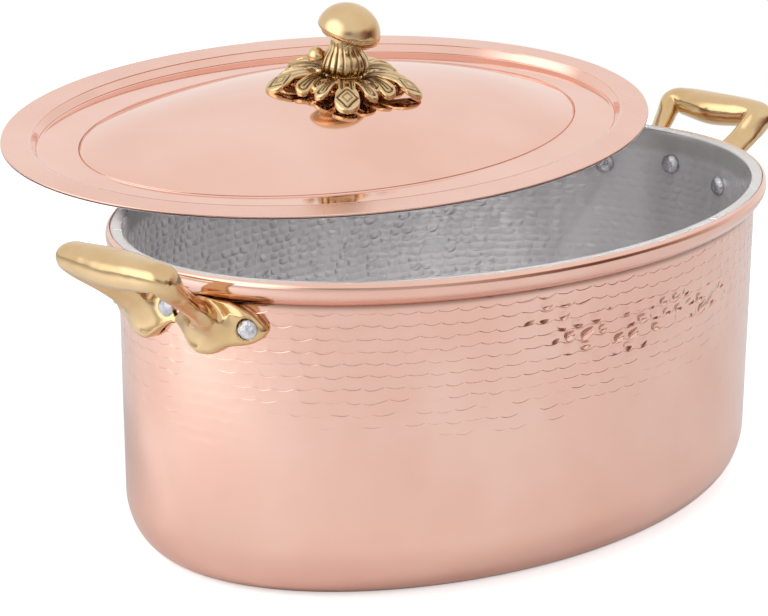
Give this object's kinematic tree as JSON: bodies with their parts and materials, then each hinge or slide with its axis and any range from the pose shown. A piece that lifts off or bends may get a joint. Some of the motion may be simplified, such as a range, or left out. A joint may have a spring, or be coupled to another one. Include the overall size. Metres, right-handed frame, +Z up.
{
  "type": "oval casserole",
  "caption": "Oval hammered copper casserole with a tinned inside, riveted cast brass handles, and a domed lid with a mushroom finial on leaves, resting aslant.",
  "frame": {"origin": "centre of the pot's flat underside", "axes": "+Z up, +X along the pot's long axis towards the handle that is far and right in the picture, +Y towards the back"},
  "size_m": [0.4628, 0.3721, 0.2273],
  "materials": {
    "copper": "polished copper, hammered on the pot's wall",
    "tin": "wiped tin lining with hammer marks",
    "cast_brass": "cast and polished brass",
    "rivet_metal": "hammered silvery rivet metal",
    "steel": "plain steel"
  },
  "bodies": {
    "pot": {"pot_shell": "copper", "pot_lining": "tin", "handle_left": "cast_brass", "handle_right": "cast_brass", "rivet_left_front": "rivet_metal", "rivet_left_middle": "rivet_metal", "rivet_left_back": "rivet_metal", "rivet_right_front": "rivet_metal", "rivet_right_middle": "rivet_metal", "rivet_right_back": "rivet_metal"},
    "lid": {"lid_shell": "copper", "lid_lining": "tin", "leaf_rosette": "cast_brass", "finial_stalk": "cast_brass", "finial_cap": "cast_brass", "finial_washer": "steel", "finial_screw": "steel"}
  },
  "joints": [
    {"name": "lid_lift", "type": "slide", "parent": "pot", "child": "lid", "axis": [0, 0, 1], "range_m": [0, 0.15]}
  ]
}
